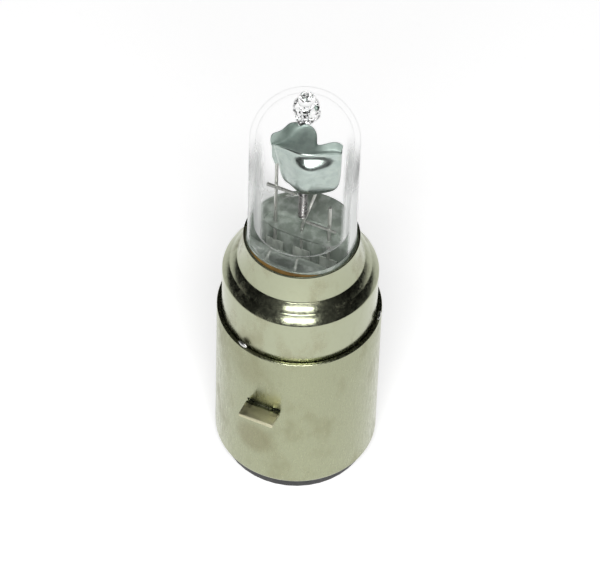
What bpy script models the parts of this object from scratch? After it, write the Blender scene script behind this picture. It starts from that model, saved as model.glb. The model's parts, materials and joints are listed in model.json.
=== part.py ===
"""Twin-filament halogen headlight bulb on a 20 mm bayonet cap, as its separate pieces.

The lamp stands on its two bottom contacts: the origin is on the lamp axis in the contact plane,
+Z runs up the axis to the glass tip, the two bayonet lugs lie on -Y and +Y, and the flat glass
pinch is wide along X. Lengths are in metres.
"""
import bpy
import bmesh
from math import cos, hypot, sin, pi, radians
from mathutils import Matrix, Vector

mm = 0.001

# Fits
clearance = 0.3 * mm        # between large neighbouring pieces
fine_gap = 0.15 * mm        # between wires, foils and what they are welded to
turned_sides = 40           # facets round a turned piece

# Cap shell
cap_radius = 10.0 * mm
cap_wall = 0.3 * mm
cap_bottom = 2.2 * mm
cap_top = 24.9 * mm
rim_roll = 0.6 * mm         # outside radius of the edge rolled under the insulator
rim_turn = 80               # degrees that the edge is rolled through
lug_width = 4.5 * mm
lug_reach = 2.2 * mm
lug_thickness = 0.55 * mm
lug_face = 15.9 * mm        # height of the lugs' upper faces, the lamp's reference plane
lug_slit = 0.45 * mm        # slit left in the wall above each lug where it was lanced out
slit_sill = 0.1 * mm        # between a lug's upper face and its slit

# Insulator and contacts
insulator_bottom = 0.3 * mm
insulator_top = 5.0 * mm
insulator_edge = 0.25 * mm  # rounding of its bottom edge
contact_offset = 4.2 * mm   # each contact's centre from the axis, along X
plate_length = 5.6 * mm
plate_width = 3.4 * mm
plate_thickness = 0.5 * mm
pad_length = 4.8 * mm
pad_width = 2.8 * mm
pad_height = 0.6 * mm
pad_edge = 0.25 * mm

# Focusing collar
collar_depth = 2.5 * mm     # how far it reaches down inside the shell
collar_wall = 0.33 * mm
crease_rise = 6.4 * mm      # its cylinder ends this far above the shell's top edge
shoulder_height = 2.3 * mm
shoulder_bulge = 0.03 * mm  # of each of the two faint rolls that make up the shoulder
neck_flare = 0.27           # share of the width between lip and cylinder that the neck takes
neck_curve = 1.7            # power of the neck's flare
collar_rise = 12.4 * mm     # the lip above the shell's top edge
lip_height = cap_top + collar_rise
seam_spot_angles = (-18.5, 101.5, 221.5)    # degrees from -Y
seam_spot_size = (0.7 * mm, 0.22 * mm, 0.3 * mm)

# Glass bulb, its heights measured from the collar's lip
glass_radius = 6.5 * mm
glass_wall = 0.7 * mm
glass_rise = 16.0 * mm      # the lip to the dome's centre
round_rise = 0.5 * mm       # the tube is round above this height
press_drop = 2.2 * mm       # and pressed flat this far below the lip
cavity_rise = 0.7 * mm      # bottom of the hollow
cavity_round_rise = 2.6 * mm
cavity_half_depth = 1.2 * mm    # of its flattened bottom
pinch_drop = 8.3 * mm       # bottom end of the pinch
pinch_side = 1.6 * mm       # glass outside the outer foils
pinch_half_depth = 1.7 * mm
nub_radius = 0.95 * mm      # the sealed stem outside the dome
nub_height = 1.35 * mm
nub_round = 0.35 * mm
nub_neck = 0.2 * mm         # foot of the nub above the dome's crown
drop_radius = 1.55 * mm     # the lump of melted glass that the stem leaves inside the dome
drop_depth = 1.9 * mm
drop_flat = 0.55            # share of the lump's radius that is flat underneath
crown_end = 70              # degrees up the dome where the lump begins
cement_depth = 4.4 * mm

# Current path
lead_pitch = 3.5 * mm       # between the three leads in the pinch
post_diameter = 0.45 * mm
outer_lead_diameter = 0.6 * mm
outer_lead_reach = 2.4 * mm     # below the pinch
foil_width = 2.2 * mm
foil_thickness = 0.12 * mm
foil_length = 4.6 * mm
common_post_drop = 2.7 * mm     # its top below the dome's centre
main_post_drop = 0.95 * mm      # its top below the main filament's upper bar
main_coil_rise = 3.2 * mm       # the filament's lower end above the lip
main_coil_gap = 1.25 * mm       # between its upper end and the shield
coil_radius = 0.52 * mm
coil_wire = 0.16 * mm
coil_pitch = 0.42 * mm
dipped_coil_length = 3.4 * mm
dipped_coil_rise = 3.6 * mm     # above the bottom of the shield
dipped_coil_inset = 1.3 * mm    # its near end inside the shield's left wall
bar_diameter = 0.45 * mm
bridge_diameter = 0.36 * mm
crossbar_overhang = 0.9 * mm
dipped_lead_diameter = 0.36 * mm
supply_diameter = 0.6 * mm
supply_straight = 3.0 * mm      # straight length at each end of a supply wire
earth_bead_radius = 0.75 * mm
earth_bead_drop = 2.0 * mm      # below the pinch

# Dipped-beam shield
shield_turn = 23.5          # degrees the shield is turned round the axis from +X
shield_sheet = 0.2 * mm
shield_height = 7.1 * mm
shield_drop = 0.3 * mm      # its bend below the dome's centre
shield_gap = 1.2 * mm       # between its furthest lobe and the glass
shield_dish = 0.3 * mm      # how far the plate at its top is dished
shield_middle = (0.26, 0.09)    # middle of its section, in shares of reach
shield_section = ((-0.44, 0.3), (-0.435, 0.05), (-0.28, -0.21), (0.0, -0.33), (0.28, -0.365),
                  (0.58, -0.35), (0.83, -0.28), (0.91, -0.05), (0.92, 0.28))  # shares of reach

# Levels and radii that follow from the sizes above
collar_radius = cap_radius - cap_wall - clearance
pinch_half_width = lead_pitch + foil_width / 2 + pinch_side
pinch_corner = hypot(pinch_half_width, pinch_half_depth)
lip_radius = max(glass_radius, pinch_corner) + fine_gap + collar_wall
neck_foot_radius = lip_radius + neck_flare * (collar_radius - lip_radius)
glass_inner_radius = glass_radius - glass_wall
dome_height = lip_height + glass_rise
press_height = lip_height - press_drop
cavity_bottom = lip_height + cavity_rise
pinch_bottom = lip_height - pinch_drop
cement_top = press_height - clearance
foil_top = press_height - clearance
foil_bottom = foil_top - foil_length
outer_lead_end = pinch_bottom - outer_lead_reach
shield_bend = dome_height - shield_drop
shield_bottom = shield_bend - shield_height
shield_reach = glass_inner_radius - shield_gap
main_coil_bottom = lip_height + main_coil_rise
main_coil_top = shield_bottom - main_coil_gap
dipped_coil_height = shield_bottom + dipped_coil_rise

BLACK = (0.02, 0.02, 0.022, 1.0)
NICKEL = (0.56, 0.55, 0.47, 1.0)
BRASS = (0.72, 0.55, 0.28, 1.0)
SOLDER = (0.60, 0.60, 0.58, 1.0)
CEMENT = (0.22, 0.13, 0.05, 1.0)
GLASS = (0.93, 0.95, 0.94, 1.0)
MOLYBDENUM = (0.36, 0.38, 0.36, 1.0)
SHIELD_METAL = (0.33, 0.38, 0.36, 1.0)
TUNGSTEN = (0.42, 0.42, 0.41, 1.0)
COPPER = (0.66, 0.36, 0.22, 1.0)


def clear_scene():
    for scene_object in list(bpy.data.objects):
        bpy.data.objects.remove(scene_object, do_unlink=True)


def material(name, colour, roughness, metallic):
    """A plain Principled material in the part's own colour."""
    made = bpy.data.materials.new(name)
    made.use_nodes = True
    shader = made.node_tree.nodes["Principled BSDF"]
    shader.inputs["Base Color"].default_value = colour
    shader.inputs["Roughness"].default_value = roughness
    shader.inputs["Metallic"].default_value = metallic
    return made


def finish(name, mesh_bm, made_material, smooth=True):
    """Turn a bmesh into a named object in the scene."""
    bmesh.ops.recalc_face_normals(mesh_bm, faces=mesh_bm.faces)
    mesh = bpy.data.meshes.new(name)
    mesh_bm.to_mesh(mesh)
    mesh_bm.free()
    mesh.materials.append(made_material)
    if smooth:
        mesh.shade_smooth()
        mesh.set_sharp_from_angle(angle=radians(35))
    made = bpy.data.objects.new(name, mesh)
    bpy.context.scene.collection.objects.link(made)
    return made


def arc(centre, radii, start, end, steps):
    """Points of an elliptical arc in the (radius, height) plane, angles in degrees."""
    points = []
    for step in range(steps + 1):
        angle = radians(start + (end - start) * step / steps)
        points.append((centre[0] + radii[0] * cos(angle), centre[1] + radii[1] * sin(angle)))
    return points


def turned(profile, ring=True, sides=turned_sides):
    """Spin a (radius, height) outline round Z: a closed outline for a ring, or an open one
    that starts and ends on the axis for a solid."""
    mesh_bm = bmesh.new()
    verts = [mesh_bm.verts.new((radius, 0.0, height)) for radius, height in profile]
    edges = [mesh_bm.edges.new(pair) for pair in zip(verts, verts[1:])]
    if ring:
        edges.append(mesh_bm.edges.new((verts[-1], verts[0])))
    bmesh.ops.spin(mesh_bm, geom=verts + edges, cent=(0, 0, 0), axis=(0, 0, 1),
                   angle=2 * pi, steps=sides, use_merge=True)
    bmesh.ops.remove_doubles(mesh_bm, verts=mesh_bm.verts, dist=1e-6)
    return mesh_bm


def loft(rings):
    """Join closed rings of points, lowest first, and close both ends."""
    mesh_bm = bmesh.new()
    loops = []
    for ring in rings:
        verts = [mesh_bm.verts.new(point) for point in ring]
        loops.append([mesh_bm.edges.new((verts[i - 1], verts[i])) for i in range(len(verts))])
    for lower, upper in zip(loops, loops[1:]):
        bmesh.ops.bridge_loops(mesh_bm, edges=lower + upper)
    bmesh.ops.holes_fill(mesh_bm, edges=loops[0] + loops[-1], sides=0)
    return mesh_bm


def oval_ring(half_width, half_depth, squareness, height, sides=turned_sides):
    """A ring between an ellipse (squareness 2) and a rounded rectangle (5 and up)."""
    points = []
    for side in range(sides):
        angle = 2 * pi * side / sides
        across, along = cos(angle), sin(angle)
        points.append((half_width * abs(across) ** (2 / squareness) * (1 if across >= 0 else -1),
                       half_depth * abs(along) ** (2 / squareness) * (1 if along >= 0 else -1),
                       height))
    return points


def box(centre, size):
    mesh_bm = bmesh.new()
    bmesh.ops.create_cube(mesh_bm, size=1.0)
    bmesh.ops.scale(mesh_bm, vec=size, verts=mesh_bm.verts)
    bmesh.ops.translate(mesh_bm, vec=centre, verts=mesh_bm.verts)
    return mesh_bm


def stadium(length, width, bottom, height, centre_x, edge=0.0):
    """An oblong with round ends, long along Y, bevelled at its bottom edge."""
    mesh_bm = bmesh.new()
    steps = 8
    straight = (length - width) / 2
    outline = []
    for end in (1, -1):
        for step in range(steps + 1):
            angle = pi * step / steps + (0 if end > 0 else pi)
            outline.append((centre_x + width / 2 * cos(angle),
                            end * straight + width / 2 * sin(angle), bottom))
    face = mesh_bm.faces.new([mesh_bm.verts.new(point) for point in outline])
    raised = bmesh.ops.extrude_face_region(mesh_bm, geom=[face])
    top = [item for item in raised["geom"] if isinstance(item, bmesh.types.BMVert)]
    bmesh.ops.translate(mesh_bm, vec=(0, 0, height), verts=top)
    if edge:
        low = [e for e in mesh_bm.edges if all(abs(v.co.z - bottom) < 1e-7 for v in e.verts)]
        bmesh.ops.bevel(mesh_bm, geom=low, offset=edge, offset_type="OFFSET", segments=2,
                        profile=0.5, affect="EDGES", material=-1)
    return mesh_bm


def cut(target, cutter_bm, name):
    """Subtract a shape from an object; the cutter stays as a hidden wire object."""
    cutter = finish(name, cutter_bm, target.data.materials[0], smooth=False)
    cutter.hide_render = True
    cutter.display_type = "WIRE"
    boolean = target.modifiers.new(name, "BOOLEAN")
    boolean.operation = "DIFFERENCE"
    boolean.solver = "EXACT"
    boolean.object = cutter


def join(target, added_bm, name):
    """Unite a shape with an object; the added shape stays as a hidden wire object."""
    added = finish(name, added_bm, target.data.materials[0], smooth=False)
    added.hide_render = True
    added.display_type = "WIRE"
    boolean = target.modifiers.new(name, "BOOLEAN")
    boolean.operation = "UNION"
    boolean.solver = "EXACT"
    boolean.object = added


def wire(name, points, diameter, made_material, resolution=1):
    """A round wire along a chain of points, with closed ends."""
    curve = bpy.data.curves.new(name, "CURVE")
    curve.dimensions = "3D"
    curve.bevel_depth = diameter / 2
    curve.bevel_resolution = resolution
    curve.use_fill_caps = True
    spline = curve.splines.new("POLY")
    spline.points.add(len(points) - 1)
    for spline_point, place in zip(spline.points, points):
        spline_point.co = (place[0], place[1], place[2], 1.0)
    curve.materials.append(made_material)
    made = bpy.data.objects.new(name, curve)
    bpy.context.scene.collection.objects.link(made)
    return made


def smooth_path(knots, steps=4):
    """Points on a smooth curve through the knots (Catmull-Rom)."""
    padded = [2 * Vector(knots[0]) - Vector(knots[1])]
    padded += [Vector(knot) for knot in knots]
    padded.append(2 * Vector(knots[-1]) - Vector(knots[-2]))
    points = []
    for before, start, end, after in zip(padded, padded[1:], padded[2:], padded[3:]):
        for step in range(steps):
            t = step / steps
            points.append(0.5 * (2 * start + (end - before) * t
                                 + (2 * before - 5 * start + 4 * end - after) * t ** 2
                                 + (3 * start - before - 3 * end + after) * t ** 3))
    points.append(Vector(knots[-1]))
    return points


def cap_shell(nickel):
    """Thin drawn shell with a rolled bottom edge and two lanced bayonet lugs."""
    centre = (cap_radius - rim_roll, cap_bottom + rim_roll)
    outer = arc(centre, (rim_roll, rim_roll), -rim_turn, 0, 5)
    inner_roll = rim_roll - cap_wall
    inner = arc(centre, (inner_roll, inner_roll), 0, -rim_turn, 5)
    rim = arc((cap_radius - cap_wall / 2, cap_top - cap_wall / 2),
              (cap_wall / 2, cap_wall / 2), 0, 180, 4)
    shell = finish("cap_shell", turned(outer + rim + inner), nickel)
    for side, angle in (("front", 0.0), ("back", pi)):
        turn = Matrix.Rotation(angle, 4, "Z")
        reach = lug_reach + cap_wall / 2
        lug = box((0, -(cap_radius - cap_wall / 2 + reach / 2), lug_face - lug_thickness / 2),
                  (lug_width, reach, lug_thickness))
        tips = [e for e in lug.edges
                if all(v.co.y < -cap_radius - lug_reach / 2 for v in e.verts)
                and abs(e.verts[0].co.z - e.verts[1].co.z) > lug_thickness / 2]
        bmesh.ops.bevel(lug, geom=tips, offset=lug_thickness / 2, offset_type="OFFSET",
                        segments=2, profile=0.5, affect="EDGES", material=-1)
        bmesh.ops.transform(lug, matrix=turn, verts=lug.verts)
        join(shell, lug, "lug_" + side)
        slit = box((0, -cap_radius, lug_face + slit_sill + lug_slit / 2),
                   (lug_width - 2 * lug_slit, 4 * cap_wall, lug_slit))
        bmesh.ops.transform(slit, matrix=turn, verts=slit.verts)
        cut(shell, slit, "lug_slit_" + side)


def insulator(black):
    """Moulded disc in the bottom of the cap, held by the rolled edge."""
    nose_radius = cap_radius - rim_roll * (1 - cos(radians(rim_turn))) - cap_wall / 2 - clearance
    flange_radius = cap_radius - cap_wall - clearance
    flange_bottom = cap_bottom + rim_roll + clearance
    profile = [(0, insulator_bottom)]
    profile += arc((nose_radius - insulator_edge, insulator_bottom + insulator_edge),
                   (insulator_edge, insulator_edge), -90, 0, 3)
    profile += [(nose_radius, flange_bottom), (flange_radius, flange_bottom),
                (flange_radius, insulator_top), (0, insulator_top)]
    disc = finish("insulator_base", turned(profile, ring=False), black)
    pocket_top = pad_height + plate_thickness + 2 * clearance
    for side, name in ((-1, "dipped"), (1, "main")):
        x = side * contact_offset
        pocket = stadium(plate_length + 2 * clearance, plate_width + 2 * clearance,
                         insulator_bottom - clearance, pocket_top - insulator_bottom + clearance, x)
        cut(disc, pocket, "pocket_" + name)
        bore = bmesh.new()
        bmesh.ops.create_cone(bore, cap_ends=True, segments=16, radius1=supply_diameter,
                              radius2=supply_diameter, depth=2 * insulator_top)
        bmesh.ops.translate(bore, vec=(x, 0, pocket_top + insulator_top - fine_gap),
                            verts=bore.verts)
        cut(disc, bore, "wire_hole_" + name)


def contacts(brass, solder):
    """Brass plates in the insulator's pockets, each under a flat pad of solder."""
    for side, name in ((-1, "dipped"), (1, "main")):
        x = side * contact_offset
        plate = stadium(plate_length, plate_width, pad_height + fine_gap, plate_thickness, x)
        finish("contact_plate_" + name, plate, brass)
        finish("contact_pad_" + name, stadium(pad_length, pad_width, 0.0, pad_height, x, pad_edge),
               solder)


def collar_outline():
    """Outer (radius, height) points of the collar, from its foot to its lip."""
    crease = cap_top + crease_rise
    points = [(collar_radius, cap_top - collar_depth)]
    steps = 8
    for step in range(steps + 1):
        share = step / steps
        bulge = shoulder_bulge * abs(sin(2 * pi * share))
        points.append((collar_radius + (neck_foot_radius - collar_radius) * share + bulge,
                       crease + shoulder_height * share + bulge / 2))
    neck_foot = crease + shoulder_height
    steps = 5
    for step in range(1, steps + 1):
        down = 1 - step / steps
        points.append((lip_radius + (neck_foot_radius - lip_radius) * down ** neck_curve,
                       lip_height + (neck_foot - lip_height) * down))
    return points


def inside_outline(outline, thickness):
    """The (radius, height) points of an outline's inner side, square to its run."""
    points = []
    for before, here, after in zip([outline[0]] + outline, outline, outline[1:] + [outline[-1]]):
        run = Vector((after[0] - before[0], after[1] - before[1])).normalized()
        points.append((here[0] - run.y * thickness, here[1] + run.x * thickness))
    return points


def focusing_collar(nickel):
    """Flanged sleeve between cap and glass: cylinder, rounded shoulder and flared neck."""
    outer = collar_outline()
    inner = inside_outline(outer, collar_wall)
    inner[0] = (collar_radius - collar_wall, outer[0][1])
    inner[-1] = (lip_radius - collar_wall, lip_height)
    finish("focusing_collar", turned(outer + inner[::-1]), nickel)
    for number, angle in enumerate(seam_spot_angles, 1):
        spot = bmesh.new()
        bmesh.ops.create_icosphere(spot, subdivisions=2, radius=1.0)
        bmesh.ops.scale(spot, vec=seam_spot_size, verts=spot.verts)
        bmesh.ops.translate(spot, vec=(0, -cap_radius + cap_wall / 2,
                                       cap_top + seam_spot_size[2] + fine_gap), verts=spot.verts)
        bmesh.ops.rotate(spot, cent=(0, 0, 0), matrix=Matrix.Rotation(radians(angle), 3, "Z"),
                         verts=spot.verts)
        finish("seam_solder_%d" % number, spot, solder_material())


def solder_material():
    return bpy.data.materials.get("solder") or material("solder", SOLDER, 0.35, 1.0)


def basing_cement(cement):
    """Cement that holds the pinch inside the collar's neck."""
    slot_width = 2 * (pinch_half_width + fine_gap)
    slot_depth = 2 * (pinch_half_depth + fine_gap)
    inner = inside_outline(collar_outline(), collar_wall + clearance)
    bottom = cement_top - cement_depth
    within = [(radius, height) for radius, height in inner[1:] if bottom < height < cement_top]
    above = [(radius, height) for radius, height in inner if height >= cement_top]
    (low_radius, low), (high_radius, high) = within[-1], above[0]
    share = (cement_top - low) / (high - low)
    top_radius = low_radius + (high_radius - low_radius) * share
    profile = [(0, bottom), (within[0][0], bottom)] + within
    profile += [(top_radius, cement_top), (0, cement_top)]
    plug = finish("basing_cement", turned(profile, ring=False), cement)
    slot = box((0, 0, cement_top), (slot_width, slot_depth, 4 * cement_depth))
    cut(plug, slot, "pinch_slot")


def blend_rings(low, high, steps):
    """Rings that turn one (half width, half depth, squareness, height) into another."""
    rings = []
    for step in range(steps + 1):
        share = step / steps
        ease = share * share * (3 - 2 * share)
        rings.append(oval_ring(low[0] + (high[0] - low[0]) * ease,
                               low[1] + (high[1] - low[1]) * ease,
                               low[2] + (high[2] - low[2]) * share ** 0.5,
                               low[3] + (high[3] - low[3]) * share))
    return rings


def glass_bulb(glass):
    """Round envelope with a domed end and sealed tip, pressed flat at its foot."""
    rings = [oval_ring(pinch_half_width, pinch_half_depth, 6, pinch_bottom)]
    rings += blend_rings((pinch_half_width, pinch_half_depth, 6, press_height),
                         (glass_radius, glass_radius, 2, lip_height + round_rise), 5)
    dome = arc((0, dome_height), (glass_radius, glass_radius), 0, 80, 7)
    nub_top = dome_height + glass_radius + nub_height
    dome += [(nub_radius, dome_height + glass_radius + nub_neck)]
    dome += arc((nub_radius - nub_round, nub_top - nub_round), (nub_round, nub_round), 0, 80, 3)
    rings += [oval_ring(radius, radius, 2, height) for radius, height in dome]
    bulb = finish("glass_bulb", loft(rings), glass)

    half_width = pinch_half_width - 2 * glass_wall
    hollow = blend_rings((half_width, cavity_half_depth, 3, cavity_bottom),
                         (glass_inner_radius, glass_inner_radius, 2,
                          lip_height + cavity_round_rise), 5)
    crown = arc((0, dome_height), (glass_inner_radius, glass_inner_radius), 0, crown_end, 6)
    drop_foot = dome_height + glass_inner_radius - drop_depth
    crown += arc((drop_radius * drop_flat, drop_foot + drop_depth / 2),
                 (drop_radius * (1 - drop_flat), drop_depth / 2), 0, -80, 3)
    hollow += [oval_ring(radius, radius, 2, height) for radius, height in crown]
    cut(bulb, loft(hollow), "bulb_hollow")

    for place in (-1, 0, 1):
        x = place * lead_pitch
        foil_slot = box((x, 0, foil_top - foil_length / 2),
                        (foil_width + 2 * fine_gap, foil_thickness + 2 * fine_gap,
                         foil_length + 2 * fine_gap))
        cut(bulb, foil_slot, "foil_slot_%d" % (place + 2))
        for part, diameter, low, high in (
                ("upper", post_diameter, foil_top, cavity_bottom + glass_wall),
                ("lower", outer_lead_diameter, pinch_bottom - clearance, foil_bottom)):
            bore = bmesh.new()
            radius = diameter / 2 + fine_gap
            bmesh.ops.create_cone(bore, cap_ends=True, segments=12, radius1=radius,
                                  radius2=radius, depth=high - low)
            bmesh.ops.translate(bore, vec=(x, 0, (low + high) / 2), verts=bore.verts)
            cut(bulb, bore, "lead_bore_%s_%d" % (part, place + 2))


def pinch_conductors(molybdenum):
    """Foils sealed in the pinch and the leads below them."""
    for place, name in ((-1, "common"), (0, "dipped"), (1, "main")):
        x = place * lead_pitch
        foil = box((x, 0, foil_top - foil_length / 2),
                   (foil_width, foil_thickness, foil_length - 2 * fine_gap))
        finish("foil_" + name, foil, molybdenum, smooth=False)
        wire("outer_lead_" + name, [(x, 0, outer_lead_end), (x, 0, foil_bottom)],
             outer_lead_diameter, molybdenum)


def inner_supports(molybdenum):
    """Posts and bars that carry the filaments and the shield."""
    wire("common_post", [(-lead_pitch, 0, foil_top), (-lead_pitch, 0, dome_height - common_post_drop)],
         post_diameter, molybdenum, 2)
    wire("main_post", [(lead_pitch, 0, foil_top), (lead_pitch, 0, main_coil_top - main_post_drop)],
         post_diameter, molybdenum, 2)
    beside = (post_diameter + bar_diameter) / 2 + fine_gap
    inner_end = coil_radius + coil_wire / 2 + fine_gap
    wire("filament_crossbar",
         [(-lead_pitch - crossbar_overhang, -beside, main_coil_top),
          (-inner_end, -beside, main_coil_top)], bar_diameter, molybdenum)
    wire("filament_bridge",
         [(inner_end, -beside, main_coil_bottom), (shield_reach, -beside, main_coil_bottom)],
         bridge_diameter, molybdenum)
    coil_middle = (main_coil_bottom + main_coil_top) / 2
    weld = dipped_coil_start() + Vector((dipped_coil_length + 0.5 * mm, 0.7 * mm, 0.0))
    knots = [(0, 0, foil_top), (0, 0, cavity_bottom + glass_wall),
             (0.8 * mm, 0.5 * mm, main_coil_bottom + 0.8 * mm),
             (1.5 * mm, 1.1 * mm, coil_middle + 0.9 * mm),
             (weld.x - 0.8 * mm, weld.y + 0.9 * mm, shield_bottom + 0.2 * mm),
             (weld.x - 0.2 * mm, weld.y + 0.9 * mm, dipped_coil_height - 1.2 * mm), weld]
    wire("dipped_lead", smooth_path([shield_frame() @ Vector(knot) for knot in knots], 3),
         dipped_lead_diameter, molybdenum)


def coil(name, start, axis, length, tungsten):
    """A filament: a helix of fine wire along an axis."""
    points = []
    steps = 10
    coil_turns = round(length / coil_pitch)
    forward = Vector(axis).normalized()
    side = forward.orthogonal().normalized()
    up = forward.cross(side)
    for step in range(coil_turns * steps + 1):
        angle = 2 * pi * step / steps
        along = length * step / (coil_turns * steps)
        points.append(Vector(start) + forward * along
                      + side * (coil_radius * cos(angle)) + up * (coil_radius * sin(angle)))
    wire(name, points, coil_wire, tungsten, 0)


def shield_frame():
    return Matrix.Rotation(radians(shield_turn), 4, "Z")


def dipped_coil_start():
    """Near end of the dipped filament, in the shield's own directions."""
    left_wall = shield_section[0][0] * shield_reach
    return Vector((left_wall + dipped_coil_inset, 0.4 * mm, dipped_coil_height))


def dipped_shield(metal):
    """Pressed sheet: a deep rounded wall, bent over at the top into a dish with three lobes.
    Its outlines are shares of the reach of its furthest lobe."""
    centre = Vector(shield_middle)
    levels = ((0.0, 0.12), (0.015, 0.6), (0.085, 0.86), (0.28, 0.97), (0.62, 1.0), (0.94, 1.0),
              (0.985, 1.02))
    edge = ((-0.87, 0.06, 0.25), (-0.86, 0.3, 0.7), (-0.6, 0.47, 0.9), (-0.37, 0.6, 1.0),
            (0.1, 0.55, 0.5), (0.27, 0.3, 0.2), (0.45, -0.03, 0.05), (0.82, 0.08, 0.15),
            (0.96, -0.1, 0.0))
    mesh_bm = bmesh.new()
    rows = []
    for rise, share in levels:
        row = []
        for place in shield_section:
            flat = (centre + (Vector(place) - centre) * share) * shield_reach
            row.append(mesh_bm.verts.new((flat.x, flat.y, shield_bottom + rise * shield_height)))
        rows.append(row)
    dish = []
    rim = []
    for bend_vert, (x, y, lift) in zip(rows[-1], edge):
        place = Vector((x * shield_reach, y * shield_reach, shield_bend + lift * mm))
        middle = (bend_vert.co + place) / 2
        middle.z = shield_bend - shield_dish * (1 - lift)
        dish.append(mesh_bm.verts.new(middle))
        rim.append(mesh_bm.verts.new(place))
    rows += [dish, rim]
    for lower, upper in zip(rows, rows[1:]):
        for i in range(len(lower) - 1):
            mesh_bm.faces.new((lower[i], lower[i + 1], upper[i + 1], upper[i]))
    bmesh.ops.transform(mesh_bm, matrix=shield_frame(), verts=mesh_bm.verts)
    shield = finish("dipped_shield", mesh_bm, metal)
    smooth = shield.modifiers.new("smooth", "SUBSURF")
    smooth.levels = 1
    smooth.render_levels = 1
    thick = shield.modifiers.new("sheet", "SOLIDIFY")
    thick.thickness = shield_sheet
    thick.offset = 0.0


def shield_bracket(metal):
    """Tapered tab spot-welded between the shield's edge and the common post."""
    near = post_diameter / 2 + fine_gap
    mesh_bm = bmesh.new()
    post_top = dome_height - common_post_drop
    wall_corner = shield_frame() @ (Vector((*shield_section[0], 0.0)) * shield_reach)
    right = wall_corner.x + lead_pitch - fine_gap
    outline = ((-0.5 * mm, 1.6 * mm), (right, 1.6 * mm), (right, -0.2 * mm),
               (0.4 * mm, -1.8 * mm), (0.0, -2.1 * mm), (-0.4 * mm, -1.0 * mm))
    front = [mesh_bm.verts.new((x - lead_pitch, 0.0, post_top + z)) for x, z in outline]
    face = mesh_bm.faces.new(front)
    raised = bmesh.ops.extrude_face_region(mesh_bm, geom=[face])
    moved = [item for item in raised["geom"] if isinstance(item, bmesh.types.BMVert)]
    bmesh.ops.translate(mesh_bm, vec=(0, shield_sheet, 0), verts=moved)
    bmesh.ops.translate(mesh_bm, vec=(0, -near - shield_sheet, 0), verts=mesh_bm.verts)
    finish("shield_bracket", mesh_bm, metal, smooth=False)


def supply_wires(copper, solder):
    """Wires inside the cap, from the pinch leads to the contacts and to the collar."""
    start = outer_lead_end - fine_gap
    foot = pad_height + plate_thickness + 2 * fine_gap
    for place, side, name in ((0, -1, "dipped"), (1, 1, "main")):
        x = place * lead_pitch
        end = side * contact_offset
        knots = [(x, 0, start), (x, 0, start - supply_straight),
                 ((x + end) / 2, 0.8 * mm * side, (start + insulator_top) / 2),
                 (end, 0, insulator_top + supply_straight), (end, 0, foot)]
        wire("supply_wire_" + name, smooth_path(knots, 4), supply_diameter, copper)
    bead_x = collar_radius - collar_wall - earth_bead_radius - fine_gap
    bead_height = pinch_bottom - earth_bead_drop
    under_bead = bead_height - earth_bead_radius - fine_gap - supply_diameter / 2
    knots = [(-lead_pitch, 0, start), (-lead_pitch - 0.3 * mm, 0, under_bead - 0.4 * mm),
             (-(lead_pitch + bead_x) / 2, 0, under_bead - 0.7 * mm),
             (-bead_x + 0.3 * mm, 0, under_bead)]
    wire("earth_wire", smooth_path(knots, 4), supply_diameter, copper)
    blob = bmesh.new()
    bmesh.ops.create_icosphere(blob, subdivisions=2, radius=earth_bead_radius)
    bmesh.ops.translate(blob, vec=(-bead_x, 0, bead_height), verts=blob.verts)
    finish("earth_solder", blob, solder)


def build():
    clear_scene()
    nickel = material("nickel_plate", NICKEL, 0.3, 1.0)
    brass = material("brass", BRASS, 0.3, 1.0)
    solder = solder_material()
    molybdenum = material("molybdenum", MOLYBDENUM, 0.4, 1.0)
    shield_metal = material("shield_metal", SHIELD_METAL, 0.38, 1.0)
    tungsten = material("tungsten", TUNGSTEN, 0.45, 1.0)
    copper = material("copper_wire", COPPER, 0.35, 1.0)

    cap_shell(nickel)
    insulator(material("black_insulator", BLACK, 0.45, 0.0))
    contacts(brass, solder)
    focusing_collar(nickel)
    basing_cement(material("cement", CEMENT, 0.8, 0.0))
    glass_bulb(material("clear_glass", GLASS, 0.03, 0.0))
    pinch_conductors(molybdenum)
    inner_supports(molybdenum)
    coil("main_filament", (0, 0, main_coil_bottom), (0, 0, 1),
         main_coil_top - main_coil_bottom, tungsten)
    turn = shield_frame()
    coil("dipped_filament", turn @ dipped_coil_start(), turn @ Vector((1, 0, 0)),
         dipped_coil_length, tungsten)
    dipped_shield(shield_metal)
    shield_bracket(shield_metal)
    supply_wires(copper, solder)


build()
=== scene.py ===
"""Twin-filament headlight bulb on a nickel-plated bayonet cap: the finished surfaces."""

import json
from math import cos, pi, radians, sin

import bmesh
import bpy
from mathutils import Matrix, Vector


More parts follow.
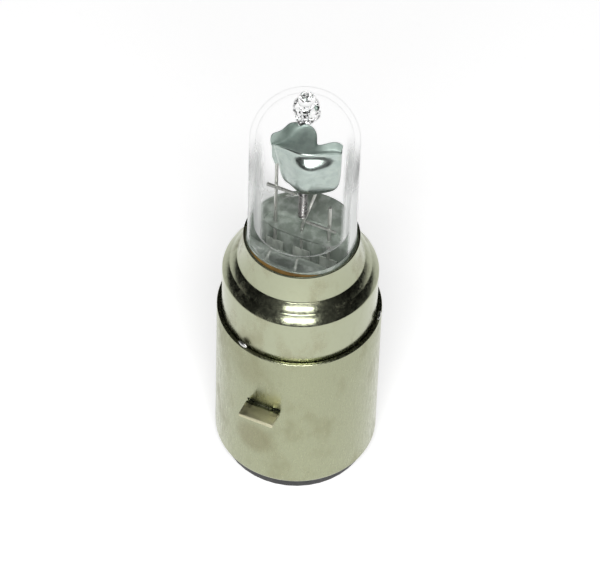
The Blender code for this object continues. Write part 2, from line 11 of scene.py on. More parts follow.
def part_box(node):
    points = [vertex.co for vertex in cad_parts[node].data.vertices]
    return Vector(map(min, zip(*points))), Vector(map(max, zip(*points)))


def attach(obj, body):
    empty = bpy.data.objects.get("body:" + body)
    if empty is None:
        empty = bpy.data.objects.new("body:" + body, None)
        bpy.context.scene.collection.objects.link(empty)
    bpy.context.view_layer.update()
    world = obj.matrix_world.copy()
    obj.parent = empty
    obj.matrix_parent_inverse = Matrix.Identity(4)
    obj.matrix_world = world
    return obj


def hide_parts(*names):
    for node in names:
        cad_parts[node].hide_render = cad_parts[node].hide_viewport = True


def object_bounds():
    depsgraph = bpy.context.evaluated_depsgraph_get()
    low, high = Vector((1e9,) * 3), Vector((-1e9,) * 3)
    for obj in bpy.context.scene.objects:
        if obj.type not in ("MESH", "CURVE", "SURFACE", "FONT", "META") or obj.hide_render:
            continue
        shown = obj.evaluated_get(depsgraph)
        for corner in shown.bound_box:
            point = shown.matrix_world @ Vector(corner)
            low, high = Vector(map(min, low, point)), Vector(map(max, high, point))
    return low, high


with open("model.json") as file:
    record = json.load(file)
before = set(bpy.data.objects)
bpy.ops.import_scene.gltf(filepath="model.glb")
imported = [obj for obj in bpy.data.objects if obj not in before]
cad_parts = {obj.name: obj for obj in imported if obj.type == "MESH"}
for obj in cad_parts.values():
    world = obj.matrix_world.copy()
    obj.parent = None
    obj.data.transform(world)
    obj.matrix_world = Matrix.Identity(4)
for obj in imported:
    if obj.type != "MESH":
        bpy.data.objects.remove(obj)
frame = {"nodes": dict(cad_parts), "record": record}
cad_low, cad_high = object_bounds()
mm = 0.001
up = Vector((0, 0, 1))

# Camera: a long lens held high above the standing lamp, a little to the right of its front lug.
camera_azimuth = radians(23.5)
camera_height = radians(49.24)
camera_roll = radians(2.0)
camera_distance = 0.5
aim_height = cad_high.z * 0.45
outward = Vector((sin(camera_azimuth), -cos(camera_azimuth), 0))
camera_side = Vector((cos(camera_azimuth), sin(camera_azimuth), 0))
back = outward * cos(camera_height) + up * sin(camera_height)
camera = bpy.data.objects.new("camera", bpy.data.cameras.new("camera"))
camera.data.lens = 249.3
camera.data.clip_start = 0.01
camera.location = back * camera_distance + up * aim_height
camera.rotation_mode = "QUATERNION"
camera.rotation_quaternion = (-back).to_track_quat("-Z", "Y")
camera.rotation_quaternion @= Matrix.Rotation(camera_roll, 3, "Z").to_quaternion()
bpy.context.scene.collection.objects.link(camera)
bpy.context.scene.camera = camera

# Studio: a plain white table and one bright soft wall behind the camera, with a key light and a
# low strip light in front of it. The room is dim on its other sides and overhead.
bpy.context.scene.view_settings.view_transform = "Standard"


class Value:
    """One output socket of a node tree, with arithmetic that adds Math nodes."""

    def __init__(self, tree, socket):
        self.tree = tree
        self.socket = socket

    def node(self, kind, inputs=(), output=0, **settings):
        """Add any node: its settings first, then its inputs by name or number."""
        made = self.tree.nodes.new(kind)
        for setting, choice in settings.items():
            setattr(made, setting, choice)
        for key, given in dict(inputs).items():
            if isinstance(given, Value):
                self.tree.links.new(given.socket, made.inputs[key])
            else:
                made.inputs[key].default_value = given
        return Value(self.tree, made.outputs[output])

    def maths(self, operation, first, second=0.0):
        return self.node("ShaderNodeMath", {0: first, 1: second}, operation=operation)

    def __add__(self, other):
        return self.maths("ADD", self, other)

    def __sub__(self, other):
        return self.maths("SUBTRACT", self, other)

    def __mul__(self, other):
        return self.maths("MULTIPLY", self, other)

    def __rsub__(self, other):
        return self.maths("SUBTRACT", other, self)

    __radd__ = __add__
    __rmul__ = __mul__

    def most(self, other):
        return self.maths("MAXIMUM", self, other)

    def fade(self, low, high, to_low=0.0, to_high=1.0):
        """Smooth step from to_low below low to to_high above high."""
        return self.node("ShaderNodeMapRange",
                         {"Value": self, "From Min": low, "From Max": high,
                          "To Min": to_low, "To Max": to_high}, interpolation_type="SMOOTHSTEP")

    def noise(self, scale, detail=3.0, stretch=(1, 1, 1)):
        """Noise in metres of the object's own coordinates, stretched along its axes."""
        placed = self.node("ShaderNodeMapping", {"Vector": self, "Scale": stretch})
        return self.node("ShaderNodeTexNoise",
                         {"Vector": placed, "Scale": scale, "Detail": detail, "Roughness": 0.55})

    def near(self, place, radius, softness=0.6):
        """1 near a place on the object, 0 beyond the radius."""
        gap = self.node("ShaderNodeVectorMath", {0: self, 1: place}, output=1,
                        operation="DISTANCE")
        return gap.fade(radius * softness, radius, 1.0, 0.0)

    def blend(self, first, second):
        """Colour mix by this value."""
        return self.node("ShaderNodeMix", {0: self, 6: first, 7: second}, output=2,
                         data_type="RGBA")

    def bump(self, strength, distance):
        return self.node("ShaderNodeBump",
                         {"Height": self, "Strength": strength, "Distance": distance})


class Surface:
    """A Principled material and the coordinates its patterns are made from."""

    def __init__(self, name, colour, roughness, metallic=0.0):
        self.material = bpy.data.materials.new(name)
        self.material.use_nodes = True
        tree = self.material.node_tree
        self.shader = tree.nodes["Principled BSDF"]
        self.set("Base Color", colour)
        self.set("Roughness", roughness)
        self.set("Metallic", metallic)
        coordinates = tree.nodes.new("ShaderNodeTexCoord")
        self.place = Value(tree, coordinates.outputs["Object"])
        parts = tree.nodes.new("ShaderNodeSeparateXYZ")
        tree.links.new(coordinates.outputs["Object"], parts.inputs[0])
        self.x, self.y, self.z = [Value(tree, socket) for socket in parts.outputs]

    def set(self, socket, given):
        if isinstance(given, Value):
            given.tree.links.new(given.socket, self.shader.inputs[socket])
        elif isinstance(given, (tuple, list)):
            self.shader.inputs[socket].default_value = (*given[:3], 1.0)
        else:
            self.shader.inputs[socket].default_value = given


tent = bpy.data.worlds.new("tent")
tent.use_nodes = True
bpy.context.scene.world = tent
tent_tree = tent.node_tree
direction = tent_tree.nodes.new("ShaderNodeTexCoord")
split = tent_tree.nodes.new("ShaderNodeSeparateXYZ")
tent_tree.links.new(direction.outputs["Generated"], split.inputs[0])
look_x, look_y, look_z = [Value(tent_tree, socket) for socket in split.outputs]
toward_camera = look_x * outward.x + look_y * outward.y
below_ceiling = look_z.fade(0.8, 0.93, 1.0, 0.0)
front_wall = toward_camera.fade(0.3, 0.75) * look_z.fade(0.1, 0.28) * below_ceiling
dim_room = 0.16
tent_light = front_wall + dim_room
tent_tree.links.new(tent_light.socket, tent_tree.nodes["Background"].inputs["Strength"])


def area_light(name, place, target, size, watts):
    lamp = bpy.data.objects.new(name, bpy.data.lights.new(name, "AREA"))
    lamp.data.shape = "RECTANGLE"
    lamp.data.size, lamp.data.size_y = size
    lamp.data.energy = watts
    lamp.location = place
    lamp.rotation_mode = "QUATERNION"
    lamp.rotation_quaternion = (Vector(place) - Vector(target)).to_track_quat("Z", "Y")
    bpy.context.scene.collection.objects.link(lamp)


middle = up * aim_height
area_light("light_key", outward * 0.36 + up * 0.52, middle, (0.3, 0.12), 2.6)
area_light("light_low", outward * 0.48 + up * 0.26, middle, (0.34, 0.05), 0.7)

table_bm = bmesh.new()
bmesh.ops.create_grid(table_bm, x_segments=1, y_segments=1, size=0.6)
table_mesh = bpy.data.meshes.new("table")
table_bm.to_mesh(table_mesh)
table_bm.free()
table = bpy.data.objects.new("table", table_mesh)
bpy.context.scene.collection.objects.link(table)
white_table = Surface("white_table", (0.9, 0.9, 0.9), 0.6)
white_table.set("Emission Color", (1.0, 1.0, 1.0))
white_table.set("Emission Strength", 0.55)
table.data.materials.append(white_table.material)


# Cap shell: thin brass, drawn to a cup, nickel-plated. Its bottom edge is rolled in under the
# insulator, and the two lugs are lanced out of the wall and folded flat.
shell_low, shell_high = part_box("cap_shell")
shell_radius = shell_high.x
shell_wall = 0.3 * mm
shell_roll = 0.6 * mm
rim_width = 0.52 * mm       # of the top edge, peened in against the collar
lug_face = frame["record"]["mounts"][2]["pos_m"][2]
lug_thickness = 0.55 * mm
lug_width = 4.5 * mm
slit_height = 0.45 * mm
slit_sink = 0.04 * mm
slit_edge = 0.15 * mm
fine_sides = 192


def arc(centre, radii, start, end, steps):
    """Points of an elliptical arc in the (radius, height) plane, angles in degrees."""
    angles = [radians(start + (end - start) * step / steps) for step in range(steps + 1)]
    return [(centre[0] + radii[0] * cos(a), centre[1] + radii[1] * sin(a)) for a in angles]


def spun(profile, ring=True, sides=fine_sides):
    """Spin a (radius, height) outline round Z: closed for a ring, open from axis to axis."""
    turned = bmesh.new()
    verts = [turned.verts.new((radius, 0.0, height)) for radius, height in profile]
    edges = [turned.edges.new(pair) for pair in zip(verts, verts[1:])]
    if ring:
        edges.append(turned.edges.new((verts[-1], verts[0])))
    bmesh.ops.spin(turned, geom=verts + edges, cent=(0, 0, 0), axis=up, angle=2 * pi,
                   steps=sides, use_merge=True)
    bmesh.ops.remove_doubles(turned, verts=turned.verts, dist=1e-7)
    bmesh.ops.recalc_face_normals(turned, faces=turned.faces)
    return turned


def shown(name, made, surface, slot, *nodes, crease=40):
    """Finish a piece: smooth shading, its material, and the CAD nodes that it stands for."""
    mesh = bpy.data.meshes.new(name)
    made.to_mesh(mesh)
    made.free()
    mesh.shade_smooth()
    mesh.set_sharp_from_angle(angle=radians(crease))
    mesh.materials.append(surface.material)
    piece = bpy.data.objects.new(name, mesh)
    bpy.context.scene.collection.objects.link(piece)
    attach(piece, "root")
    if nodes:
        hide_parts(*nodes)
    return piece


def block(centre, size, edge, segments=3):
    """A box with its edges rounded over."""
    made = bmesh.new()
    bmesh.ops.create_cube(made, size=1.0)
    bmesh.ops.scale(made, vec=size, verts=made.verts)
    bmesh.ops.translate(made, vec=centre, verts=made.verts)
    bmesh.ops.bevel(made, geom=list(made.edges), offset=edge, offset_type="OFFSET",
                    segments=segments, profile=0.5, affect="EDGES", material=-1)
    return made


def combine(piece, other, operation):
    """Apply one exact Boolean to a finished piece and drop the tool."""
    mesh = bpy.data.meshes.new("tool")
    other.to_mesh(mesh)
    other.free()
    tool = bpy.data.objects.new("tool", mesh)
    bpy.context.scene.collection.objects.link(tool)
    step = piece.modifiers.new("step", "BOOLEAN")
    step.operation = operation
    step.object = tool
    evaluated = piece.evaluated_get(bpy.context.evaluated_depsgraph_get())
    result = bpy.data.meshes.new_from_object(evaluated)
    piece.modifiers.remove(step)
    bpy.data.objects.remove(tool)
    piece.data = result


shell_tint = (0.335, 0.35, 0.235)
nickel = Surface("satin_nickel", shell_tint, 0.3, 1.0)
blotches = nickel.place.noise(260, 4, (1, 1, 0.6))
grain = nickel.place.noise(2600, 3, (1, 1, 0.25))
tarnish = blotches.fade(0.5, 0.72)
toned = (tarnish * 0.5).blend((*shell_tint, 1), (0.255, 0.25, 0.15, 1))
stain_low = outward * shell_radius * 0.86 - camera_side * shell_radius * 0.5 + up * 9.3 * mm
stain_high = outward * shell_radius * 0.86 - camera_side * shell_radius * 0.6 + up * 21.5 * mm
stain = nickel.place.near(stain_low, 3.4 * mm, 0.45) * 0.5
stain = stain.most(nickel.place.near(stain_high, 3.6 * mm, 0.3) * 0.3)
worn = stain.blend(toned, (0.205, 0.185, 0.10, 1))
past_wall = (0 - nickel.y).most(nickel.y).fade(shell_radius + 0.15 * mm, shell_radius + 0.4 * mm)
# The lugs take a lighter olive than the shell: painted light that makes up for the dark room their tops
# reflect, with random tone in it.
lug_painted_light = blotches.fade(0.3, 0.7).blend((0.47, 0.45, 0.30, 1), (0.58, 0.56, 0.40, 1))
nickel.set("Base Color", past_wall.blend(worn, lug_painted_light))
nickel.set("Roughness", grain.fade(0.3, 0.7, 0.2, 0.34) + tarnish * 0.08 + past_wall * 0.22)
nickel.set("Normal", (grain * 0.35 + blotches).bump(0.12, 0.02 * mm))

rim_centre = (shell_radius - shell_roll, shell_low.z + shell_roll)
lug_edge = 0.12 * mm
dent_low, dent_high = lug_face - 0.3 * mm, lug_face + 1.7 * mm
dent_half_width = lug_width * 0.62
dent_rows = [dent_low + (dent_high - dent_low) * step / 12 for step in range(13)]
shell_outline = arc(rim_centre, (shell_roll, shell_roll), -80, 0, 12)
shell_outline += [(shell_radius, height) for height in dent_rows]
shell_outline += arc((shell_radius - rim_width / 2, shell_high.z - shell_wall / 2),
                     (rim_width / 2, shell_wall / 2), 0, 180, 12)
inner_roll = shell_roll - shell_wall
shell_outline += [(shell_radius - shell_wall, height) for height in reversed(dent_rows)]
shell_outline += arc(rim_centre, (inner_roll, inner_roll), 0, -80, 12)
drawn = spun(shell_outline)
dent_depth = 0.18 * mm
for vert in drawn.verts:
    across = abs(vert.co.x) / dent_half_width
    rise = (vert.co.z - lug_face) / (dent_high - lug_face)
    if across < 1 and 0 < rise < 1:
        push = dent_depth * (1 - across ** 2) ** 2 * (1 - rise) ** 1.5
        vert.co.y *= 1 - push / shell_radius
cap_shell = shown("cap_shell_drawn", drawn, nickel, "nickel_plate", "cap_shell")
lug_reach = shell_high.y - shell_radius
for half_turn in (0, pi):
    turn = Matrix.Rotation(half_turn, 4, "Z")
    length = lug_reach + shell_wall / 2
    lug = block((0, -(shell_radius - shell_wall / 2 + length / 2), lug_face - lug_thickness / 2),
                (lug_width, length, lug_thickness), lug_edge)
    bmesh.ops.transform(lug, matrix=turn, verts=lug.verts)
    combine(cap_shell, lug, "UNION")
    for end, slit_length in ((-1, 0.95 * mm), (1, 1.1 * mm)):
        slit = block((end * (lug_width / 2 - 0.55 * slit_length), -shell_radius,
                      lug_face - slit_sink + slit_height / 2),
                     (slit_length, 6 * shell_wall, slit_height), slit_edge)
        bmesh.ops.transform(slit, matrix=turn, verts=slit.verts)
        combine(cap_shell, slit, "DIFFERENCE")
cap_shell.data.set_sharp_from_angle(angle=radians(40))


# Insulator: a black moulded disc that closes the bottom of the cap. Its pockets and wire holes
# are moulded in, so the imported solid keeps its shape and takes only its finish.
moulding = Surface("black_moulding", (0.018, 0.018, 0.02), 0.42)
pits = moulding.place.noise(1800, 3)
moulding.set("Base Color", moulding.place.noise(500, 4).fade(0.35, 0.7).blend(
    (0.014, 0.014, 0.016, 1), (0.034, 0.033, 0.032, 1)))
moulding.set("Roughness", pits.fade(0.3, 0.7, 0.34, 0.52))
moulding.set("Normal", pits.bump(0.25, 0.02 * mm))


def refinish(node, surface):
    """Give a carried-over CAD node its finished material."""
    solid = frame["nodes"][node]
    solid.data.materials.clear()
    solid.data.materials.append(surface.material)


refinish("insulator_base", moulding)


# Contacts: a stamped brass plate for each beam, seated in a pocket of the insulator, under a pad
# of soft solder that is ground flat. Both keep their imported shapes.
brass = Surface("contact_brass", (0.72, 0.53, 0.26), 0.3, 1.0)
dulled = brass.place.noise(700, 4).fade(0.4, 0.7)
brass.set("Base Color", dulled.blend((0.76, 0.57, 0.29, 1), (0.5, 0.35, 0.17, 1)))
brass.set("Roughness", dulled * 0.2 + 0.25)
solder = Surface("soft_solder", (0.6, 0.6, 0.59), 0.34, 1.0)
crystals = solder.place.noise(1500, 4)
solder.set("Base Color", crystals.fade(0.35, 0.7).blend((0.64, 0.64, 0.62, 1),
                                                        (0.40, 0.40, 0.39, 1)))
solder.set("Roughness", crystals.fade(0.3, 0.7, 0.24, 0.5))
solder.set("Normal", crystals.bump(0.4, 0.04 * mm))
for beam in ("dipped", "main"):
    refinish("contact_plate_" + beam, brass)
    refinish("contact_pad_" + beam, solder)


# Focusing collar: a drawn and plated sleeve soldered into the shell. A cylinder, a shoulder with
# two faint rolls, and a neck that narrows to the lip that the glass stands in.
collar_low, collar_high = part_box("focusing_collar")
collar_radius = collar_high.x
collar_wall = 0.33 * mm
crease_height = shell_high.z + 6.4 * mm
shoulder_rise = 2.3 * mm
shoulder_bulge = 0.03 * mm      # of each of its two rolls
lip_radius = 6.98 * mm
lip_crown = 0.08 * mm           # rounding of the lip's top
neck_flare = 0.27               # share of the width between lip and cylinder
neck_curve = 1.7
neck_foot_radius = lip_radius + neck_flare * (collar_radius - lip_radius)
lip_height = collar_high.z - lip_crown

collar_outline = [(collar_radius, collar_low.z)]
crease_round = 0.1 * mm
collar_outline += arc((collar_radius - crease_round, crease_height - crease_round * 0.6),
                      (crease_round, crease_round), 0, 25, 3)
for step in range(1, 33):
    share = step / 32
    bulge = shoulder_bulge * abs(sin(2 * pi * share))
    collar_outline.append((collar_radius + (neck_foot_radius - collar_radius) * share + bulge,
                           crease_height + shoulder_rise * share + bulge / 2))
neck_foot = crease_height + shoulder_rise
for step in range(1, 19):
    down = 1 - step / 18
    collar_outline.append((lip_radius + (neck_foot_radius - lip_radius) * down ** neck_curve,
                           lip_height + (neck_foot - lip_height) * down))
collar_inside = []
for before, here, after in zip(collar_outline, collar_outline[1:], collar_outline[2:]):
    run = Vector((after[0] - before[0], 0, after[1] - before[1])).normalized()
    collar_inside.append((here[0] - run.z * collar_wall, here[1] + run.x * collar_wall))
collar_inside.append((lip_radius - collar_wall, lip_height))
collar_inside.reverse()
collar_inside.append((collar_radius - collar_wall, collar_low.z))
lip_edge = arc((lip_radius - collar_wall / 2, lip_height),
               (collar_wall / 2, lip_crown), 0, 180, 6)[1:-1]

collar_tint = (0.39, 0.41, 0.29)
plated = Surface("bright_nickel", collar_tint, 0.2, 1.0)
mottle = plated.place.noise(300, 4, (1, 1, 0.5))
haze = plated.place.noise(2200, 3)
soot_top = 25.0 * mm            # in the corner where the collar leaves the shell
soot = (plated.z + haze * 0.9 * mm).fade(soot_top - 0.15 * mm, soot_top, 1.0, 0.0)
film = mottle.fade(0.46, 0.72) * 0.6
plated.set("Base Color", soot.blend(film.blend((*collar_tint, 1), (0.31, 0.295, 0.19, 1)),
                                    (0.03, 0.028, 0.024, 1)))
plated.set("Roughness", haze.fade(0.3, 0.7, 0.13, 0.24) + film * 0.3 + soot * 0.3)
plated.set("Normal", (haze * 0.3 + mottle).bump(0.1, 0.02 * mm))
collar = shown("focusing_collar_turned", spun(collar_outline + lip_edge + collar_inside), plated,
               "nickel_plate", "focusing_collar", crease=30)
plain_lip = 0.3 * mm            # band of plain nickel left inside the lip, above the painted shade
# The inside faces below that band take a dark painted shade for the dark inside the neck; the glass
# casts no shadow there.
inside_shade = Surface("burnt_inside", (0.06, 0.065, 0.052), 0.5, 0.6)
inside_shade.set("Base Color", inside_shade.place.noise(350, 4).fade(0.35, 0.7).blend(
    (0.045, 0.05, 0.04, 1), (0.10, 0.098, 0.072, 1)))
collar.data.materials.append(inside_shade.material)
for face in collar.data.polygons:
    if face.normal.xy.dot(face.center.xy) < 0 and face.center.z < lip_height - plain_lip:
        face.material_index = 1


# Seam solder: three small beads left where the collar was soldered to the shell's top edge.
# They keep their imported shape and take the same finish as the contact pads.
for number in (1, 2, 3):
    refinish("seam_solder_%d" % number, solder)


# Basing cement: poured round the glass foot inside the neck. Its top is painted dark grey-green for the
# shade inside the neck, where the glass casts no shadow, and turns brown towards the front lug.
cement = Surface("basing_cement", (0.05, 0.055, 0.045), 0.5)
lumps = cement.place.noise(420, 5)
# The skin's dark grey-green is painted shade.
painted_shade_skin = lumps.fade(0.3, 0.75).blend((0.13, 0.145, 0.125, 1), (0.065, 0.074, 0.062, 1))
front_brown = lumps.fade(0.3, 0.75).blend((0.34, 0.20, 0.06, 1), (0.13, 0.07, 0.02, 1))
brown_edge = -2.5 * mm        # from the axis towards the front lug
brown_share = (cement.y + lumps * 0.8 * mm).fade(brown_edge - 0.4 * mm, brown_edge + 0.4 * mm,
                                              1.0, 0.0)
cement.set("Base Color", brown_share.blend(painted_shade_skin, front_brown))
cement.set("Roughness", lumps.fade(0.3, 0.7, 0.25, 0.6))
cement.set("Normal", lumps.bump(0.6, 0.25 * mm))
refinish("basing_cement", cement)


# Glass bulb: clear hard glass, blown round with a domed end. Its pump stem is melted off to a
# knobbly tip and its foot pressed flat over the foils and leads. The thin wall is clear with a
# gloss at its edges; the tip and the press are thick glass that bends light.
glass_low, glass_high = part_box("glass_bulb")
glass_radius = glass_high.x
glass_wall = 0.7 * mm
lip = collar_high.z
dome_height = lip + 16.0 * mm
press_height = lip - 2.2 * mm
round_height = lip + 0.5 * mm
cavity_bottom = lip + 0.7 * mm
cavity_round = lip + 2.6 * mm
cavity_half_depth = 1.2 * mm
pinch_half_width = 6.2 * mm
pinch_half_depth = 1.7 * mm
nub_radius = 0.95 * mm
nub_round = 0.35 * mm
nub_fillet = 0.2 * mm           # where the dome turns up into the tip
drop_radius = 1.45 * mm
drop_depth = 1.8 * mm
drop_fillet = 0.1 * mm          # where the hollow turns down round the drop


def oval(half_width, half_depth, squareness, height, sides=96):
    """A ring between an ellipse (squareness 2) and a rounded rectangle (5 and up)."""
    points = []
    for side in range(sides):
        across, along = cos(2 * pi * side / sides), sin(2 * pi * side / sides)
        points.append((half_width * abs(across) ** (2 / squareness) * (1 if across >= 0 else -1),
                       half_depth * abs(along) ** (2 / squareness) * (1 if along >= 0 else -1),
                       height))
    return points


def skinned(rings):
    """Bridge a stack of rings, lowest first, and close both ends."""
    made = bmesh.new()
    loops = []
    for ring in rings:
        verts = [made.verts.new(point) for point in ring]
        loops.append([made.edges.new((verts[i - 1], verts[i])) for i in range(len(verts))])
    for lower, upper in zip(loops, loops[1:]):
        bmesh.ops.bridge_loops(made, edges=lower + upper)
    bmesh.ops.holes_fill(made, edges=loops[0] + loops[-1], sides=0)
    bmesh.ops.recalc_face_normals(made, faces=made.faces)
    return made


def ease(share):
    return share * share * (3 - 2 * share)


def blended(low, high, steps=16):
    """Rings that turn one (half width, half depth, squareness, height) into another."""
    rings = []
    for step in range(steps + 1):
        share = step / steps
        rings.append(oval(low[0] + (high[0] - low[0]) * ease(share),
                          low[1] + (high[1] - low[1]) * ease(share),
                          low[2] + (high[2] - low[2]) * share ** 0.5,
                          low[3] + (high[3] - low[3]) * share))
    return rings


glass_rings = [oval(pinch_half_width, pinch_half_depth, 6, glass_low.z)]
glass_rings += blended((pinch_half_width, pinch_half_depth, 6, press_height),
                       (glass_radius, glass_radius, 2, round_height))
dome_top = dome_height + glass_radius
tip_outline = arc((0, dome_height), (glass_radius, glass_radius), 0, 79, 28)
tip_outline += arc((nub_radius + nub_fillet, dome_top + 0.15 * mm),
                   (0.25 * mm, nub_fillet), 255, 180, 5)
nub_top = glass_high.z
tip_outline += [(nub_radius + 0.05 * mm, dome_top + 0.6 * mm)]
tip_outline += arc((nub_radius - nub_round, nub_top - nub_round), (nub_round, nub_round), 10, 84, 7)
glass_rings += [oval(radius, radius, 2, height) for radius, height in tip_outline]

inner_radius = glass_radius - glass_wall
hollow_rings = blended((pinch_half_width - 2 * glass_wall, cavity_half_depth, 3, cavity_bottom),
                       (inner_radius, inner_radius, 2, cavity_round))
crown = arc((0, dome_height), (inner_radius, inner_radius), 0, 69, 24)
drop_foot = dome_height + inner_radius - drop_depth
crown += arc((drop_radius + drop_fillet, drop_foot + drop_depth - 0.25 * mm),
             (drop_fillet, 0.12 * mm), 90, 180, 3)
crown += arc((drop_radius * 0.5, drop_foot + drop_depth * 0.5),
             (drop_radius * 0.5, drop_depth * 0.5), 10, -84, 10)
hollow_rings += [oval(radius, radius, 2, height) for radius, height in crown]

blown = Surface("blown_glass", (0.97, 0.98, 0.975), 0.1, 0.35)
grazing = blown.place.node("ShaderNodeLayerWeight", {"Blend": 0.5}, output=1)
tube_share = blown.z.fade(dome_height - 7 * mm, dome_height - 1 * mm, 1.0, 0.0)
# Above the start of the dome the glass is painted dark grey, which shows at its grazing edges as a
# painted dark outline in place of a reflection.
below_dome = blown.z.fade(dome_height - 1 * mm, dome_height + 2 * mm, 1.0, 0.0)
blown.set("Base Color", below_dome.blend((0.2, 0.22, 0.21, 1), (0.97, 0.98, 0.975, 1)))
rolled = blown.place.noise(220, 3, (1, 1, 0.12)).fade(0.3, 0.7, 0.85, 1.0)
blown.set("Alpha", grazing.fade(0.57, 0.7) * (tube_share * 0.8 + 0.01) * rolled
          + grazing.fade(0.8, 0.97) * 0.5)
glass = Surface("melted_glass", (0.985, 0.99, 0.985), 0.0)
glass.set("IOR", 1.45)
glass.set("Transmission Weight", 1.0)
glass_bulb = shown("glass_bulb_blown", skinned(glass_rings), blown, "clear_glass", "glass_bulb")
hollow = skinned(hollow_rings)
for vert in hollow.verts:
    if vert.co.xy.length < drop_radius and vert.co.z > dome_height:
        turn_angle = vert.co.xy.angle_signed(Vector((1, 0)), 0.0)
        melt = 1 + 0.09 * sin(3 * turn_angle + 0.6) + 0.06 * sin(7 * turn_angle)
        vert.co.xy *= melt
        vert.co.z += 0.12 * mm * sin(5 * turn_angle + 1.0)
combine(glass_bulb, hollow, "DIFFERENCE")
for vert in glass_bulb.data.vertices:
    if vert.co.z > dome_top + 0.05 * mm:
        turn_angle = vert.co.xy.angle_signed(Vector((1, 0)), 0.0)
        vert.co.xy *= 1 + 0.035 * sin(3 * turn_angle)
pressed_glass = Surface("pressed_glass", (0.38, 0.43, 0.38), 0.02)
seeds = pressed_glass.place.noise(900, 3, (1, 1, 0.3))
pressed_glass.set("Base Color", seeds.fade(0.4, 0.7).blend((0.36, 0.41, 0.36, 1),
                                                           (0.62, 0.68, 0.62, 1)))
pressed_glass.set("IOR", 1.45)
pressed_glass.set("Transmission Weight", 0.55)
glass_bulb.data.materials.append(glass.material)
glass_bulb.data.materials.append(pressed_glass.material)
melt_foot = drop_foot - 0.2 * mm
for face in glass_bulb.data.polygons:
    in_tip = face.center.z > melt_foot and face.center.xy.length < drop_radius * 1.12
    in_press = face.center.z < cavity_bottom + 0.3 * mm
    face.material_index = 1 if in_tip else 2 if in_press else 0
glass_bulb.visible_shadow = False


# Pinch conductors: a molybdenum foil for each lead, sealed flat in the press, with a stiff lead
# welded to its lower end.
wire_metal = Surface("drawn_molybdenum", (0.55, 0.56, 0.53), 0.35, 0.7)
die_marks = wire_metal.place.noise(1600, 3, (1, 1, 0.2))
wire_metal.set("Base Color", die_marks.fade(0.35, 0.7).blend((0.60, 0.61, 0.57, 1),
                                                             (0.36, 0.37, 0.34, 1)))
wire_metal.set("Roughness", die_marks.fade(0.3, 0.7, 0.25, 0.45))
foil = Surface("etched_foil", (0.5, 0.53, 0.48), 0.4, 0.35)
foil.set("Base Color", foil.place.noise(1200, 3, (1, 1, 0.3)).fade(0.35, 0.7).blend(
    (0.56, 0.60, 0.54, 1), (0.34, 0.37, 0.33, 1)))
for circuit in ("common", "dipped", "main"):
    refinish("foil_" + circuit, foil)
    refinish("outer_lead_" + circuit, wire_metal)


# Inner supports: straight drawn molybdenum posts and bars, and the bent lead of the dipped
# filament, spot-welded where they cross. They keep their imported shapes.
for node in ("common_post", "main_post", "dipped_lead", "filament_crossbar", "filament_bridge"):
    refinish(node, wire_metal)


# Filaments: close-wound tungsten coils. The main one stands on the axis between bridge and
# crossbar, and the dipped one lies across the shield's cup.
tungsten = Surface("tungsten_coil", (0.45, 0.44, 0.43), 0.4, 1.0)
tungsten.set("Roughness", tungsten.place.noise(3000, 2).fade(0.3, 0.7, 0.25, 0.4))


def bent_wire(name, points, thickness, surface, slot, *nodes, facets=3):
    """A round wire along a chain of points."""
    route = bpy.data.curves.new(name, "CURVE")
    route.dimensions = "3D"
    route.bevel_depth = thickness / 2
    route.bevel_resolution = facets
    route.use_fill_caps = True
    spline = route.splines.new("POLY")
    spline.points.add(len(points) - 1)
    for spline_point, place in zip(spline.points, points):
        spline_point.co = (*place, 1.0)
    laid = bpy.data.objects.new(name, route)
    bpy.context.scene.collection.objects.link(laid)
    mesh = bpy.data.meshes.new_from_object(laid.evaluated_get(
        bpy.context.evaluated_depsgraph_get()))
    bpy.data.objects.remove(laid)
    made = bmesh.new()
    made.from_mesh(mesh)
    return shown(name, made, surface, slot, *nodes)


def wound(start, end, radius, turns, leg, steps=14):
    """A close-wound helix between two points with a straight leg at each end."""
    start, end = Vector(start), Vector(end)
    axis = (end - start).normalized()
    side = axis.orthogonal().normalized()
    across = axis.cross(side)
    points = [start + side * radius - axis * leg]
    for step in range(turns * steps + 1):
        angle = 2 * pi * step / steps
        points.append(start.lerp(end, step / (turns * steps))
                      + side * (radius * cos(angle)) + across * (radius * sin(angle)))
    return points + [end + side * radius + axis * leg]


filament_wire = 0.11 * mm
main_turns = 24
dipped_turns = 20
coil_leg = 0.1 * mm
coil_inset = 0.15 * mm
main_low, main_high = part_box("main_filament")
coil_radius = (main_high.x - main_low.x) / 2 - filament_wire
main_low_end = Vector((0, 0, main_low.z + coil_inset))
main_high_end = Vector((0, 0, main_high.z - coil_inset))
bent_wire("main_filament_wound",
          wound(main_low_end, main_high_end, coil_radius, main_turns, coil_leg), filament_wire, tungsten,
          "tungsten", "main_filament", facets=1)
dipped_low, dipped_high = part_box("dipped_filament")
dipped_middle = (dipped_low + dipped_high) / 2
dipped_half = 1.55 * mm
bent_wire("dipped_filament_wound",
          wound(dipped_middle - camera_side * dipped_half, dipped_middle + camera_side * dipped_half,
                coil_radius, dipped_turns, coil_leg), filament_wire, tungsten, "tungsten",
          "dipped_filament", facets=1)


# Dipped-beam shield: molybdenum sheet pressed into a barrel-shaped cup, open at the back, and
# folded over at the top into a plate with two turned-up ears and a lobe. Satin from the press.
satin = Surface("pressed_sheet", (0.5, 0.56, 0.53), 0.34, 1.0)
brushed = satin.place.noise(900, 4)
satin.set("Base Color", brushed.fade(0.35, 0.7).blend((0.43, 0.49, 0.455, 1),
                                                      (0.38, 0.44, 0.41, 1)))
satin.set("Roughness", brushed.fade(0.3, 0.7, 0.2, 0.26))

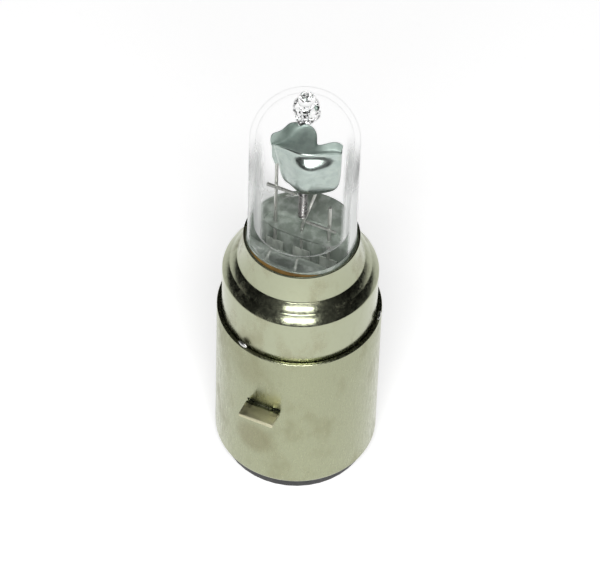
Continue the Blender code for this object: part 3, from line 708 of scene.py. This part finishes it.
fold_height = dome_height - 0.3 * mm
sheet = 0.16 * mm
shield_turn = Matrix.Rotation(camera_azimuth, 4, "Z")
cup_middle = Vector((0.9, 0.3))
cup_bulge = 1.1             # most that the cup swells out below the fold
bulge_drop = 2              # and how far below the fold it has done so
fold = ((-3.75, -0.15), (-3.0, -0.42), (-2.3, -0.72), (-1.5, -1.1), (-0.7, -1.5), (0.1, -1.66),
        (0.7, -1.67), (1.2, -1.6), (2.2, -1.48), (3.3, -1.43), (4.15, -1.4))
plate_edge = ((-4.0, 0.0, -0.05), (-2.9, 0.35, -0.1), (-1.95, 1.4, -0.15), (-1.5, 2.5, -0.1),
              (-0.2, 2.95, 0.1), (1.0, 2.3, 0.2), (1.3, 0.8, 0.1), (1.15, -0.45, 0.05),
              (2.2, -0.8, 0.5), (3.5, -0.45, 0.75), (4.35, -0.85, 0.5))
ear_edge = ((-4.05, 0.35, 1.3), (-2.9, 0.55, 1.35), (-2.2, 1.4, 1.4), (-1.75, 2.2, 1.35),
            (-0.25, 3.05, 0.35), (1.08, 2.45, 0.35), (1.4, 0.85, 0.25), (1.22, -0.38, 0.2),
            (2.25, -0.65, 0.8), (3.6, -0.25, 1.05), (4.5, -0.7, 0.75))
# How far below the fold, share of the fold's width, and how much the left side draws in.
cup_rows = ((6.95, 0.12, 0.3), (6.9, 0.45, 0.3), (6.65, 0.74, 0.3), (6.1, 0.9, 0.3),
            (4.9, 0.98, 0.26), (3.2, 0.99, 0.2), (2.4, 1.0, 0.14), (1.7, 1.0, 0.1),
            (1.1, 1.0, 0.06), (0.6, 1.0, 0.03), (0.2, 1.0, 0.01))

pressed = bmesh.new()


def pressed_vert(x, y, height):
    return pressed.verts.new((x * mm, y * mm, height))


cup_columns = ((-3.45, 1.1), *fold, (4.3, -0.9), (4.22, -0.1))
cup = []
for drop, share, draw_in in cup_rows:
    bulge = cup_bulge * sin(pi / 2 * min(1, drop / bulge_drop)) ** 2
    row = []
    for x, y in cup_columns:
        flat = cup_middle + (Vector((x, y)) - cup_middle) * share
        drawn_in = max(0.0, -0.6 - flat.x) * draw_in
        middle_share = max(0.0, 1 - ((x - 0.9) / 3.6) ** 2) if y < 0 else 0
        row.append(pressed_vert(flat.x + drawn_in, flat.y - bulge * middle_share * share ** 2,
                                fold_height - drop * mm))
    cup.append(row)
fold_row = [pressed_vert(x, y, fold_height) for x, y in cup_columns]
cup.append(fold_row)
plate = [fold_row[1:12]]
for share, dip in ((0.12, 0.0), (0.55, -0.25)):
    plate.append([pressed_vert(x + (far_x - x) * share, y + (far_y - y) * share,
                               fold_height + (dip + rise * share) * mm)
                  for (x, y), (far_x, far_y, rise) in zip(fold, plate_edge)])
for edge in (plate_edge, ear_edge):
    plate.append([pressed_vert(x, y, fold_height + rise * mm) for x, y, rise in edge])
for finish, rows in enumerate((cup, plate)):
    for lower, upper in zip(rows, rows[1:]):
        for left in range(len(lower) - 1):
            face = pressed.faces.new((lower[left], lower[left + 1], upper[left + 1], upper[left]))
            face.material_index = finish
bmesh.ops.transform(pressed, matrix=shield_turn, verts=pressed.verts)
shield = shown("dipped_shield_pressed", pressed, satin, "shield_metal", "dipped_shield",
               crease=180)
dulled_sheet = Surface("dulled_sheet", (0.3, 0.36, 0.34), 0.5, 0.3)
dulled_sheet.set("Base Color", dulled_sheet.place.noise(700, 4).fade(0.35, 0.7).blend(
    (0.31, 0.38, 0.345, 1), (0.21, 0.26, 0.235, 1)))
dulled_sheet.set("Roughness", dulled_sheet.place.noise(1500, 3).fade(0.3, 0.7, 0.42, 0.58))
shield.data.materials.append(dulled_sheet.material)
rounding = shield.modifiers.new("rounding", "SUBSURF")
rounding.levels = 3
rounding.render_levels = 3
thickness = shield.modifiers.new("sheet", "SOLIDIFY")
thickness.thickness = sheet
thickness.offset = 0.0
refinish("shield_bracket", satin)


# Supply wires: bare copper from the pinch leads down to the two contacts, and an earth wire that
# is soldered to the inside of the collar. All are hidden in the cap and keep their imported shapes.
copper = Surface("bare_copper", (0.68, 0.36, 0.22), 0.3, 1.0)
copper.set("Base Color", copper.place.noise(800, 4).fade(0.4, 0.7).blend(
    (0.72, 0.39, 0.25, 1), (0.38, 0.18, 0.10, 1)))
copper.set("Roughness", copper.place.noise(2000, 3).fade(0.3, 0.7, 0.25, 0.45))
for node in ("supply_wire_dipped", "supply_wire_main", "earth_wire"):
    refinish(node, copper)
refinish("earth_solder", solder)
